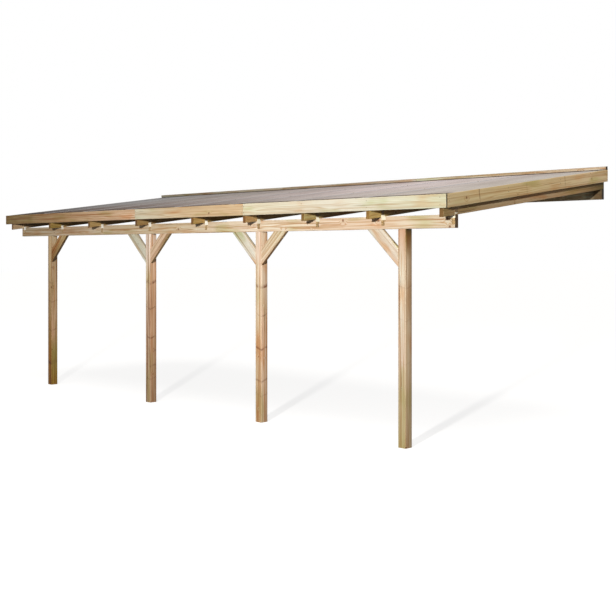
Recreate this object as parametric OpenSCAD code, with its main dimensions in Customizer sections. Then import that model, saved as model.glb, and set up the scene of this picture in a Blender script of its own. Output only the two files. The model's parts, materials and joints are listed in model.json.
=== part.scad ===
// A lean-to terrace roof in planed timber: four posts and a beam carry the front of
// nine rafters, and a wall ledger carries the back. +X runs along the wall, +Y into
// the wall and +Z up, with the origin on the ledger's wall face.

/* [Posts] */
// Side of the square posts
post_size = 100; // [70:5:120]
// Rounding of the posts' long edges
post_edge_r = 6; // [2:1:10]
// Ground to the underside of the beam
post_h = 2200; // [2000:10:2500]
// Wall to the front faces of the posts and the beam
post_line = 2765; // [2000:5:3400]
// Left end of the beam to the middle of the first post
first_post_inset = 815; // [300:5:1100]
// Right end of the beam to the middle of the fourth post
last_post_inset = 668; // [300:1:950]
// Middle of the fourth rafter to the middle of the second post
second_post_offset = 8; // [0:1:150]
// Middle of the sixth rafter to the middle of the third post
third_post_offset = 41; // [0:1:150]

/* [Beam and ledger] */
// Height of the beam
beam_h = 130; // [100:5:200]
// Thickness of the beam
beam_t = 50; // [40:5:90]
// Height of the wall ledger
ledger_h = 120; // [90:5:180]
// Thickness of the wall ledger
ledger_t = 50; // [40:5:80]
// Diameter of the holes for the wall bolts
wall_bolt_d = 12; // [8:1:16]

/* [Braces] */
// Underside of the beam to the foot of a brace
brace_drop = 385; // [300:5:550]
// Reach of a brace along the beam
brace_reach = 420; // [300:5:550]
// Width of a brace
brace_w = 140; // [80:5:160]
// Thickness of a brace
brace_t = 45; // [30:5:50]

/* [Roof frame] */
// Rise of the roof towards the wall, in degrees
roof_slope = 7.5; // [4:0.5:12]
// First to second rafter, middle to middle
bay_1 = 1095; // [800:1:1300]
// Second to third rafter
bay_2 = 1050; // [800:1:1300]
// Third to fourth rafter
bay_3 = 1125; // [800:1:1300]
// Fourth to fifth rafter
bay_4 = 1178; // [800:1:1300]
// Fifth to sixth rafter
bay_5 = 967; // [800:1:1300]
// Sixth to seventh rafter
bay_6 = 967; // [800:1:1300]
// Seventh to eighth rafter
bay_7 = 950; // [800:1:1300]
// Eighth to ninth rafter
bay_8 = 941; // [800:1:1300]
// Width of a rafter
rafter_w = 50; // [40:5:80]
// Height of a rafter
rafter_h = 130; // [100:5:180]
// Front of the beam to the ends of the rafters
front_overhang = 178; // [100:2:400]
// Left end of the roof to the outer face of the first rafter
left_overhang = 142; // [40:1:200]
// Right end of the roof to the outer face of the last rafter
right_overhang = 49; // [40:1:200]
// Width of a purlin
purlin_w = 45; // [35:5:70]
// Height of a purlin
purlin_h = 70; // [45:5:100]
// Number of purlins
purlin_count = 4; // [3:1:6]
// Rounding of the edges of the boards and the sawn timber
edge_r = 3; // [1:1:5]

/* [Edge boards] */
// Height of the edge boards at the front and the sides
fascia_h = 133; // [110:1:180]
// Thickness of the edge boards
fascia_t = 22; // [18:1:30]
// Gap where two boards meet end to end
board_gap = 2; // [1:1:4]
// Height of the batten on the roof along the wall
batten_h = 40; // [30:5:60]
// Depth of the batten on the roof along the wall
batten_d = 45; // [30:5:70]
// Right end of the roof to the joint in the batten
batten_joint = 2800; // [1500:50:5000]

/* [Roof sheets] */
// Number of sheets side by side
sheet_count = 8; // [6:1:10]
// Thickness of a sheet
sheet_t = 16; // [10:2:25]
// Gap between two sheets, and between the sheets and the front board
sheet_gap = 5; // [4:1:8]
// Gap between the sheets and the side boards
sheet_side_gap = 2; // [1:1:4]
// Width of the strip over a joint
strip_w = 50; // [30:5:80]
// Thickness of the strip over a joint
strip_t = 2; // [1:0.5:4]

/* [Rafter anchors] */
// Width of an anchor's two flanges
anchor_w = 42; // [30:2:50]
// Width of an anchor at its nose, beside the rafter
anchor_nose_w = 60; // [52:2:70]
// Length of an anchor's flange on the beam
anchor_leg = 95; // [60:5:115]
// Length of an anchor's flange on the rafter
anchor_arm = 60; // [50:5:105]
// Thickness of an anchor
anchor_t = 2; // [1.5:0.5:3]

/* [Hidden] */
post_count = 4;
bays = [bay_1, bay_2, bay_3, bay_4, bay_5, bay_6, bay_7, bay_8];
rafter_count = len(bays) + 1;
sections = ["left", "middle", "right"];
// Each brace is the number of its post and the side of the post that it stands on
braces = [[1, "right"], [2, "left"], [2, "right"], [3, "left"], [3, "right"], [4, "left"]];

// Along the wall
function width_of(bay_count) = bay_count == 0 ? 0 : bays[bay_count - 1] + width_of(bay_count - 1);
roof_l = left_overhang + rafter_w + width_of(len(bays)) + right_overhang;
function rafter_x(n) = -roof_l / 2 + left_overhang + rafter_w / 2 + width_of(n - 1);
left_end_x = rafter_x(1) - rafter_w / 2;
right_end_x = rafter_x(rafter_count) + rafter_w / 2;
left_joint_rafter = 4;
middle_rafter = 5;
right_joint_rafter = 6;
post_xs = [left_end_x + first_post_inset, rafter_x(left_joint_rafter) + second_post_offset,
           rafter_x(right_joint_rafter) + third_post_offset, right_end_x - last_post_inset];
function post_x(n) = post_xs[n - 1];
side_board_x = roof_l / 2 - fascia_t;

// From the wall to the front
beam_front_y = -post_line;
beam_back_y = beam_front_y + beam_t;
rafter_end_y = beam_front_y - front_overhang;
roof_front_y = rafter_end_y - fascia_t;

// Heights: the rafters' undersides meet the back edges of the beam and of the ledger
rafter_rise = -beam_back_y * tan(roof_slope);
ground_z = ledger_h / 2 - rafter_rise - beam_h - post_h;
beam_z = ground_z + post_h;
beam_top_z = beam_z + beam_h;
ledger_top_z = ledger_h / 2;
purlin_top = rafter_h + purlin_h;
sheet_top = purlin_top + sheet_t;
function on_roof_z(y, lift) =
    beam_top_z + (y - beam_back_y) * tan(roof_slope) + lift / cos(roof_slope);
// Distance up the slope of a point that is lift above the rafters' undersides, at y
function up_slope(y, lift) = (y - beam_back_y + lift * sin(roof_slope)) / cos(roof_slope);

sheet_front = up_slope(rafter_end_y + sheet_gap, sheet_top);
sheet_back = up_slope(0, purlin_top);
sheets_w = 2 * (side_board_x - sheet_side_gap);
sheet_w = (sheets_w - (sheet_count - 1) * sheet_gap) / sheet_count;
sheet_pitch = sheet_w + sheet_gap;
strip_clearance = 0.5;
front_purlin = up_slope(rafter_end_y, purlin_top);
back_purlin = up_slope(0, rafter_h) - purlin_w;
batten_back = up_slope(0, sheet_top);
batten_joint_x = roof_l / 2 - batten_joint;
more = 10;

// A rectangle about the origin with eased corners
module eased_rect(w, h, r) {
    polygon([for (quarter = [0:3], turn = [0, 45, 90])
        let (out = 90 * quarter + turn,
             side_x = quarter == 0 || quarter == 3 ? 1 : -1,
             side_y = quarter < 2 ? 1 : -1)
        [side_x * (w / 2 - r) + r * cos(out), side_y * (h / 2 - r) + r * sin(out)]]);
}

// A timber that runs from x0 to x1, with its lowest front edge at y and z
module timber_x(x0, x1, y, z, depth, height, r = edge_r) {
    translate([x0, y + depth / 2, z + height / 2]) rotate([90, 0, 90])
        linear_extrude(x1 - x0) eased_rect(depth, height, r);
}

// A timber that runs up the slope from y0 to y1, with its middle at x and its underside at z
module timber_y(y0, y1, x, z, width, height, r = edge_r) {
    translate([x, y0, z + height / 2]) rotate([-90, 0, 0])
        linear_extrude(y1 - y0) eased_rect(width, height, r);
}

// Puts its children on the slope, where z = 0 is the plane of the rafters' undersides
module on_slope() {
    translate([0, beam_back_y, beam_top_z]) rotate([roof_slope, 0, 0]) children();
}

// Cuts its children plumb at y0 and y1
module cut_plumb(y0, y1) {
    intersection() {
        children();
        translate([-roof_l, y0, ground_z]) cube([2 * roof_l, y1 - y0, 2 * post_h]);
    }
}

module post(n) {
    color("burlywood") translate([post_x(n), beam_front_y + post_size / 2, ground_z])
        linear_extrude(post_h) eased_rect(post_size, post_size, post_edge_r);
}

module brace(n, side) {
    way = side == "right" ? 1 : -1;
    pitch = atan(brace_drop / brace_reach);
    inner_drop = brace_drop - brace_w / cos(pitch);
    inner_reach = brace_reach - brace_w / sin(pitch);
    color("tan") translate([post_x(n) + way * post_size / 2, beam_front_y + brace_t, beam_z])
        rotate([90, 0, 0]) linear_extrude(brace_t)
            polygon([[0, -brace_drop], [way * brace_reach, 0], [way * inner_reach, 0],
                     [0, -inner_drop]]);
}

module beam(x0, x1) {
    color("burlywood") timber_x(x0, x1, beam_front_y, beam_z, beam_t, beam_h);
}

// One half of the ledger, with a bolt hole in the middle of each bay
module ledger(x0, x1, first_rafter) {
    color("peru") difference() {
        timber_x(x0, x1, -ledger_t, ledger_top_z - ledger_h, ledger_t, ledger_h);
        for (n = [first_rafter:first_rafter + len(bays) / 2 - 1])
            translate([(rafter_x(n) + rafter_x(n + 1)) / 2, more, 0]) rotate([90, 0, 0])
                cylinder(h = ledger_t + 2 * more, d = wall_bolt_d, $fn = 48);
    }
}

// A rafter, seated flat on the beam and on the ledger
module rafter(n) {
    color("peru") difference() {
        cut_plumb(rafter_end_y, 0) on_slope()
            timber_y(up_slope(rafter_end_y, 0) - more, up_slope(0, rafter_h) + more,
                     rafter_x(n), 0, rafter_w, rafter_h);
        translate([rafter_x(n) - rafter_w, beam_front_y, beam_z])
            cube([2 * rafter_w, beam_t, beam_h]);
        translate([rafter_x(n) - rafter_w, -ledger_t, -ledger_h / 2])
            cube([2 * rafter_w, ledger_t + more, ledger_h]);
    }
}

module purlin(n) {
    pitch = (back_purlin - front_purlin) / (purlin_count - 1);
    color("sienna") on_slope()
        timber_x(-side_board_x, side_board_x, front_purlin + (n - 1) * pitch, rafter_h,
                 purlin_w, purlin_h);
}

// The front boards meet over the rafters on either side of the middle one
module fascia(section) {
    joint_xs = [-roof_l / 2 - board_gap / 2, rafter_x(left_joint_rafter),
                rafter_x(right_joint_rafter), roof_l / 2 + board_gap / 2];
    i = search([section], sections)[0];
    top_z = on_roof_z(rafter_end_y, sheet_top);
    color("wheat") timber_x(joint_xs[i] + board_gap / 2, joint_xs[i + 1] - board_gap / 2,
                            roof_front_y, top_z - fascia_h, fascia_t, fascia_h);
}

module side_fascia(way) {
    color("tan") cut_plumb(rafter_end_y, 0) on_slope()
        timber_y(up_slope(rafter_end_y, 0) - more, up_slope(0, sheet_top) + more,
                 way * (roof_l - fascia_t) / 2, sheet_top - fascia_h, fascia_t, fascia_h);
}

module roof_sheet(n) {
    color("thistle") on_slope()
        translate([-sheets_w / 2 + (n - 1) * sheet_pitch, sheet_front, purlin_top])
            cube([sheet_w, sheet_back - sheet_front, sheet_t]);
}

// Tee strips that cover the joints, up to the batten along the wall
module sheet_strips() {
    length = batten_back - batten_d - sheet_front;
    color("rosybrown") on_slope() for (n = [1:sheet_count - 1])
        translate([-sheets_w / 2 + n * sheet_pitch - sheet_gap / 2, sheet_front, sheet_top]) {
            translate([-strip_w / 2, 0, 0]) cube([strip_w, length, strip_t]);
            translate([strip_clearance - sheet_gap / 2, 0, strip_t - sheet_t])
                cube([sheet_gap - 2 * strip_clearance, length, sheet_t]);
        }
}

module wall_batten(x0, x1) {
    color("burlywood") on_slope()
        timber_x(x0, x1, batten_back - batten_d, sheet_top, batten_d, batten_h);
}

// A folded anchor: one flange on the rafter's side, the other on the front of the beam, and a
// wide nose where they meet. The last one turns its beam flange under the rafter, because the
// beam ends there.
module rafter_anchor(n) {
    way = n == rafter_count ? -1 : 1;
    nose_h = 50;
    rise = 12;
    flange_top = way == 1 ? rise : -rise;
    slant = anchor_nose_w - anchor_w;
    translate([rafter_x(n) + rafter_w / 2, beam_front_y, beam_top_z]) {
        translate([0, -anchor_t, 0]) rotate([90, 0, 90]) linear_extrude(anchor_t)
            polygon([[0, -nose_h], [anchor_t, -nose_h], [anchor_t, 0], [anchor_w, rise],
                     [anchor_w, anchor_arm], [0, anchor_arm]]);
        translate([way == 1 ? 0 : anchor_t, 0, 0]) rotate([90, 0, 0]) linear_extrude(anchor_t)
            polygon([[0, flange_top], [way * anchor_w, flange_top],
                     [way * anchor_nose_w, flange_top - slant], [way * anchor_nose_w, slant - nose_h],
                     [way * anchor_w, -nose_h], [way * anchor_w, -anchor_leg], [0, -anchor_leg]]);
    }
}

module rafter_anchors() {
    color("silver") for (n = [1:rafter_count]) rafter_anchor(n);
}

for (n = [1:post_count]) post(n);
for (at = braces)
    brace(at[0], at[1]);
beam(left_end_x, post_x(3) - board_gap / 2);  // beam_left
beam(post_x(3) + board_gap / 2, right_end_x);  // beam_right
ledger(left_end_x, rafter_x(middle_rafter) - board_gap / 2, 1);  // ledger_left
ledger(rafter_x(middle_rafter) + board_gap / 2, right_end_x, middle_rafter);  // ledger_right
for (n = [1:rafter_count]) rafter(n);
for (n = [1:purlin_count]) purlin(n);
for (section = sections)
    fascia(section);
side_fascia(-1);  // side_fascia_left
side_fascia(1);  // side_fascia_right
for (n = [1:sheet_count]) roof_sheet(n);
sheet_strips();
wall_batten(-roof_l / 2, batten_joint_x - board_gap / 2);  // wall_batten_left
wall_batten(batten_joint_x + board_gap / 2, roof_l / 2);  // wall_batten_right
rafter_anchors();
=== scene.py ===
# A wall-mounted terrace roof in planed, pressure-treated pine, built round its CAD frame.
# +X runs along the wall, +Y into the wall, +Z up, and all sizes are in metres.
import json
import math
import bpy
from mathutils import Euler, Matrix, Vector


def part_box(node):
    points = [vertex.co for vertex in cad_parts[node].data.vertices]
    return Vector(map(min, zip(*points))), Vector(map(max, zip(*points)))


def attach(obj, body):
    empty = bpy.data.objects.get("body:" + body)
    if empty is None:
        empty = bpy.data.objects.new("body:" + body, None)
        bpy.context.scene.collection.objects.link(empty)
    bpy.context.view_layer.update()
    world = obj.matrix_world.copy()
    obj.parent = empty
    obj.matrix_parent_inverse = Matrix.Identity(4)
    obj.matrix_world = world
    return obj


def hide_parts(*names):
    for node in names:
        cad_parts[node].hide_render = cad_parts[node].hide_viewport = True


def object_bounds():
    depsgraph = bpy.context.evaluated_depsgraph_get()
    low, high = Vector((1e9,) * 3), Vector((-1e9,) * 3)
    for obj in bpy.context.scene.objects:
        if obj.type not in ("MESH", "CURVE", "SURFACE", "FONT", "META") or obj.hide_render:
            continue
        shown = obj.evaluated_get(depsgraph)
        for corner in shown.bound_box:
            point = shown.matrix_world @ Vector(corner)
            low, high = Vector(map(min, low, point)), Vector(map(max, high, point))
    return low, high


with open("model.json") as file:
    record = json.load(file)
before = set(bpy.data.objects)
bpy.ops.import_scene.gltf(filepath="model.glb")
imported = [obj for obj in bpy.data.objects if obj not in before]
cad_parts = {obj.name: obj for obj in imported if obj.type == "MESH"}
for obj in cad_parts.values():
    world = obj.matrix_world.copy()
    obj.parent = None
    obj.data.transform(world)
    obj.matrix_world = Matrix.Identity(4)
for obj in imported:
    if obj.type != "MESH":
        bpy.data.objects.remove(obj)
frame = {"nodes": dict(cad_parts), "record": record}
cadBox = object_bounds()
roofLow, roofHigh = cadBox
groundZ = roofLow.z
mm = 0.001
print("frame loaded:", len(frame["nodes"]), "nodes")


# The camera stands in front of the roof's right end, a little above half its height
cameraView = {"place": (10.230, -10.575, -0.645), "turn": 45.64, "lens": 59.7,
              "shift": (-0.0055, -0.0932)}

bpy.ops.object.camera_add(location=cameraView["place"])
camera = bpy.context.object
camera.rotation_euler = (math.radians(90), 0, math.radians(cameraView["turn"]))
camera.data.lens = cameraView["lens"]
camera.data.sensor_width = 36
camera.data.shift_x, camera.data.shift_y = cameraView["shift"]
camera.data.clip_end = 200
bpy.context.scene.camera = camera


def linear(hexText):  # an sRGB hex colour as the linear colour that Blender works in
    parts = [int(hexText[i:i + 2], 16) / 255 for i in (1, 3, 5)]
    return [p / 12.92 if p <= 0.04045 else ((p + 0.055) / 1.055) ** 2.4 for p in parts] + [1]


def addNode(tree, kind, sockets, **settings):  # a socket takes a value, a socket or a node's first output
    node = tree.nodes.new("ShaderNode" + kind)
    for name, value in settings.items():
        setattr(node, name, value)
    for socket, value in sockets.items():
        if isinstance(value, bpy.types.Node):
            value = value.outputs[0]
        if isinstance(value, bpy.types.NodeSocket):
            tree.links.new(value, node.inputs[socket])
        else:
            node.inputs[socket].default_value = value
    return node


def fillRamp(ramp, stops):  # stops are (place, hex colour or grey level)
    elements = ramp.color_ramp.elements
    while len(elements) > 1:
        elements.remove(elements[0])
    for index, (place, colour) in enumerate(stops):
        element = elements.new(place) if index else elements[0]
        element.position = place
        element.color = linear(colour) if isinstance(colour, str) else (colour, colour, colour, 1)


def startMaterial(name):  # with its nodes, its shader and the places on the object
    material = bpy.data.materials.new(name)
    material.use_nodes = True
    tree = material.node_tree
    return material, tree, tree.nodes["Principled BSDF"], addNode(tree, "TexCoord", {})


def setSurface(tree, shader, look, colour, mottle, low, high):  # the gloss follows a mottle
    tree.links.new(colour, shader.inputs["Base Color"])
    rough = addNode(tree, "MapRange", {"Value": mottle, "From Min": low, "From Max": high,
                    "To Min": look["roughness"][0], "To Max": look["roughness"][1]})
    tree.links.new(rough.outputs[0], shader.inputs["Roughness"])
    for key, socket in (("ior", "IOR"), ("gloss", "Specular IOR Level"), ("metallic", "Metallic")):
        if key in look:
            shader.inputs[socket].default_value = look[key]


def seenDirectly(tree):  # 1 for what the camera, gloss and glass see, 0 for other light
    path = addNode(tree, "LightPath", {})
    gloss = addNode(tree, "Math", {0: path.outputs["Is Camera Ray"], 1: path.outputs["Is Glossy Ray"]},
                    operation="ADD")
    return addNode(tree, "Math", {0: gloss, 1: path.outputs["Is Transmission Ray"]},
                   operation="ADD", use_clamp=True)


# A white room with one lamp to the front right, near enough for the left end to be darker, and
# a soft fill from above
studio = {"keyAt": (7.4, -12.0, 0.9), "key": 6000, "keySize": 0.2,
          "fillFrom": (0.20, -0.30, 0.93), "fill": 0.8, "fillSoftness": 30, "ambient": 0.30,
          "floorSize": 160, "floor": "#45433f", "floorGlow": 0.79, "floorSeen": "#a9a7a4"}

world = bpy.data.worlds.new("white studio")
bpy.context.scene.world = world
world.use_nodes = True
worldTree = world.node_tree
background = worldTree.nodes["Background"]
whiteOrAmbient = addNode(worldTree, "MapRange", {"Value": seenDirectly(worldTree),
                         "To Min": studio["ambient"], "To Max": 1.0})
background.inputs["Color"].default_value = (1, 1, 1, 1)
worldTree.links.new(whiteOrAmbient.outputs["Result"], background.inputs["Strength"])

bpy.ops.object.light_add(type="POINT", location=studio["keyAt"])
keyLight = bpy.context.object
keyLight.name = "key light"
keyLight.data.energy = studio["key"]
keyLight.data.shadow_soft_size = studio["keySize"]
keyLight.visible_camera = False

bpy.ops.object.light_add(type="SUN")
fillLight = bpy.context.object
fillLight.name = "fill light"
fillLight.rotation_euler = Vector(studio["fillFrom"]).to_track_quat("Z", "Y").to_euler()
fillLight.data.energy = studio["fill"]
fillLight.data.angle = math.radians(studio["fillSoftness"])

bpy.ops.mesh.primitive_plane_add(size=studio["floorSize"], location=(0, 0, groundZ))
floor = bpy.context.object
floor.name = "studioFloor"
floorPaint = bpy.data.materials.new("matt white studio floor")
floorPaint.use_nodes = True
floorTree = floorPaint.node_tree
floorTree.nodes.remove(floorTree.nodes["Principled BSDF"])
floorSeen = seenDirectly(floorTree)
floorColour = addNode(floorTree, "Mix", {0: floorSeen, 6: linear(studio["floor"]),
                      7: linear(studio["floorSeen"])}, data_type="RGBA")
floorMatt = addNode(floorTree, "BsdfDiffuse", {"Color": floorColour.outputs[2]})
glowStrength = addNode(floorTree, "Math", {0: floorSeen, 1: studio["floorGlow"]}, operation="MULTIPLY")
floorGlow = addNode(floorTree, "Emission", {"Color": (1, 1, 1, 1), "Strength": glowStrength})
floorSum = addNode(floorTree, "AddShader", {0: floorMatt, 1: floorGlow})
floorTree.links.new(floorSum.outputs[0], floorTree.nodes["Material Output"].inputs["Surface"])
floor.data.materials.append(floorPaint)
bpy.context.scene.view_settings.view_transform = "Standard"
print("camera, lamps, white room and floor made")


def makeActive(piece):
    bpy.ops.object.select_all(action="DESELECT")
    piece.select_set(True)
    bpy.context.view_layer.objects.active = piece


def startEditing(piece, kind="EDGE"):  # into edit mode, with nothing selected
    makeActive(piece)
    bpy.ops.object.mode_set(mode="EDIT")
    bpy.ops.mesh.select_mode(type=kind)
    bpy.ops.mesh.select_all(action="DESELECT")


def stopEditing():
    bpy.ops.object.mode_set(mode="OBJECT")


def applyPlace(piece):
    makeActive(piece)
    bpy.ops.object.transform_apply(location=True, rotation=True, scale=True)


def addBlock(low, high):  # a cube stretched between two corners, in any order
    corners = list(zip(low, high))
    middle = [(a + b) / 2 for a, b in corners]
    size = [abs(b - a) for a, b in corners]
    bpy.ops.mesh.primitive_cube_add(size=1, location=middle, scale=size)
    block = bpy.context.object
    applyPlace(block)
    return block


def addRod(place, radius, depth, vertices, turn=(0, 0, 0)):  # a cylinder along Z, unless turned
    bpy.ops.mesh.primitive_cylinder_add(vertices=vertices, radius=radius, depth=depth, location=place,
                                        rotation=turn)
    rod = bpy.context.object
    applyPlace(rod)
    return rod


def roundLongEdges(piece, axis, radius, segments=3):  # the edges that run along one axis
    startEditing(piece)
    stopEditing()
    points = piece.data.vertices
    for edge in piece.data.edges:
        run = points[edge.vertices[1]].co - points[edge.vertices[0]].co
        edge.select = abs(run.normalized()[axis]) > 0.99
    bpy.ops.object.mode_set(mode="EDIT")
    bpy.ops.mesh.bevel(offset=radius, segments=segments, affect="EDGES")
    stopEditing()


def cutAway(piece, point, normal):  # takes off what lies beyond a plane and closes the cut
    startEditing(piece)
    bpy.ops.mesh.select_all(action="SELECT")
    bpy.ops.mesh.bisect(plane_co=point, plane_no=normal, use_fill=True, clear_outer=True)
    stopEditing()


def applyModifier(piece, kind, **settings):
    makeActive(piece)
    modifier = piece.modifiers.new(kind.lower(), kind)
    for name, value in settings.items():
        setattr(modifier, name, value)
    bpy.ops.object.modifier_apply(modifier=modifier.name)


def breakSharpEdges(piece, width):  # a small arris on every edge that is still sharp
    applyModifier(piece, "BEVEL", width=width, segments=1, limit_method="ANGLE",
                  angle_limit=math.radians(50))


def carve(piece, cutter, operation="DIFFERENCE"):
    applyModifier(piece, "BOOLEAN", object=cutter, operation=operation, solver="EXACT")
    bpy.data.objects.remove(cutter)


def joinAll(pieces):
    makeActive(pieces[0])
    for piece in pieces:
        piece.select_set(True)
    if len(pieces) > 1:
        bpy.ops.object.join()
    return pieces[0]


def placeCopies(model, places):  # places are (point, direction that the model's top faces, if turned)
    copies = []
    for point, direction in places:
        makeActive(model)
        bpy.ops.object.duplicate(linked=False)
        copy = bpy.context.object
        copy.location = point
        if direction:
            copy.rotation_euler = Vector(direction).to_track_quat("Z", "Y").to_euler()
        applyPlace(copy)
        copies.append(copy)
    return joinAll(copies)


def finishPiece(piece, name, material, nodes=()):
    piece.name = name
    piece.data.name = name
    piece.data.materials.clear()
    piece.data.materials.append(material)
    makeActive(piece)
    bpy.ops.object.shade_smooth_by_angle(angle=math.radians(35))
    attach(piece, "root")
    if nodes:
        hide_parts(*nodes)


# Pine planed on four sides and pressure-treated: cream earlywood between orange latewood
# lines, brown knots with a dark ring, a faint green tinge and a dull, waxy surface.
pineLook = {
    "ringPitch": 7.5 * mm,     # real rings are 3 to 4 mm apart, drawn twice as far so that they show
    "wander": 26 * mm,         # how far the pith strays along the board
    "pith": (-0.05, 0.012),    # from the middle of the board, towards its hidden side
    "contrast": 0.62,          # of the latewood lines
    "streaks": 0.6, "orange": 0.6, "green": 0.6, "checks": 0.6,
    "knotCell": (0.48, 0.12),  # one knot at most in this length and width
    "knotShare": 0.5,          # the share of those places that has a knot
    "knotSize": 14 * mm,       # radius of the biggest knots
    "knotsRound": False,       # True where branches show on all sides, as on a post
    "smallestKnot": 3 * mm,    # smaller ones get no dark ring
    "knotHeart": 0.55,         # the share of a knot's radius that is evenly brown
    "knotRagged": 5 * mm,      # how far its outline wanders
    "knotRingWidth": 2.5 * mm, "knotRingShare": 0.6,
    "swirlReach": 2.2, "swirlSpare": 2 * mm, "swirlPush": 1.4,  # the grain's bend round a knot
    "ringUneven": 2.2,         # how many rings the spacing drifts by
    "whorls": (),              # (height, strength, half its height in mm) of each ring of branches
    "whorlWave": 34 * mm, "whorlDip": 0.38,
    "latewood": "#d3a878", "streak": "#cdae8a", "orangeTint": "#f4c697", "greenTint": "#d3dba8",
    "knotColour": "#a0734a", "knotRing": "#6e4a30", "whorlColour": "#87532f",
    "checkColour": "#5b442f", "endGrain": "#c9a983",
    "underside": "#8a7458",    # painted shade on the faces that look down
    "roughness": (0.58, 0.80), "ior": 1.5, "gloss": 0.3,
    # relief in millimetres, upwards
    "lateRelief": 0.12, "fibreRelief": 0.25, "knotRelief": 0.4, "checkRelief": -1.2, "reliefShare": 0.6,
}
# Noises in the board's own axes: cycles a metre along and across the grain, and their detail.
# Real fibres are finer than 0.1 mm, and are drawn here as the 4 mm streaks that planing leaves.
pineNoises = {"drift": (1.1, 0.5, 2), "uneven": (0.6, 34, 1), "streak": (0.8, 42, 3), "patch": (1.7, 7, 2),
              "fibre": (9, 250, 2), "check": (1.6, 120, 1), "whorl": (5, 17, 1), "knotEdge": (40, 60, 1)}


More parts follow.
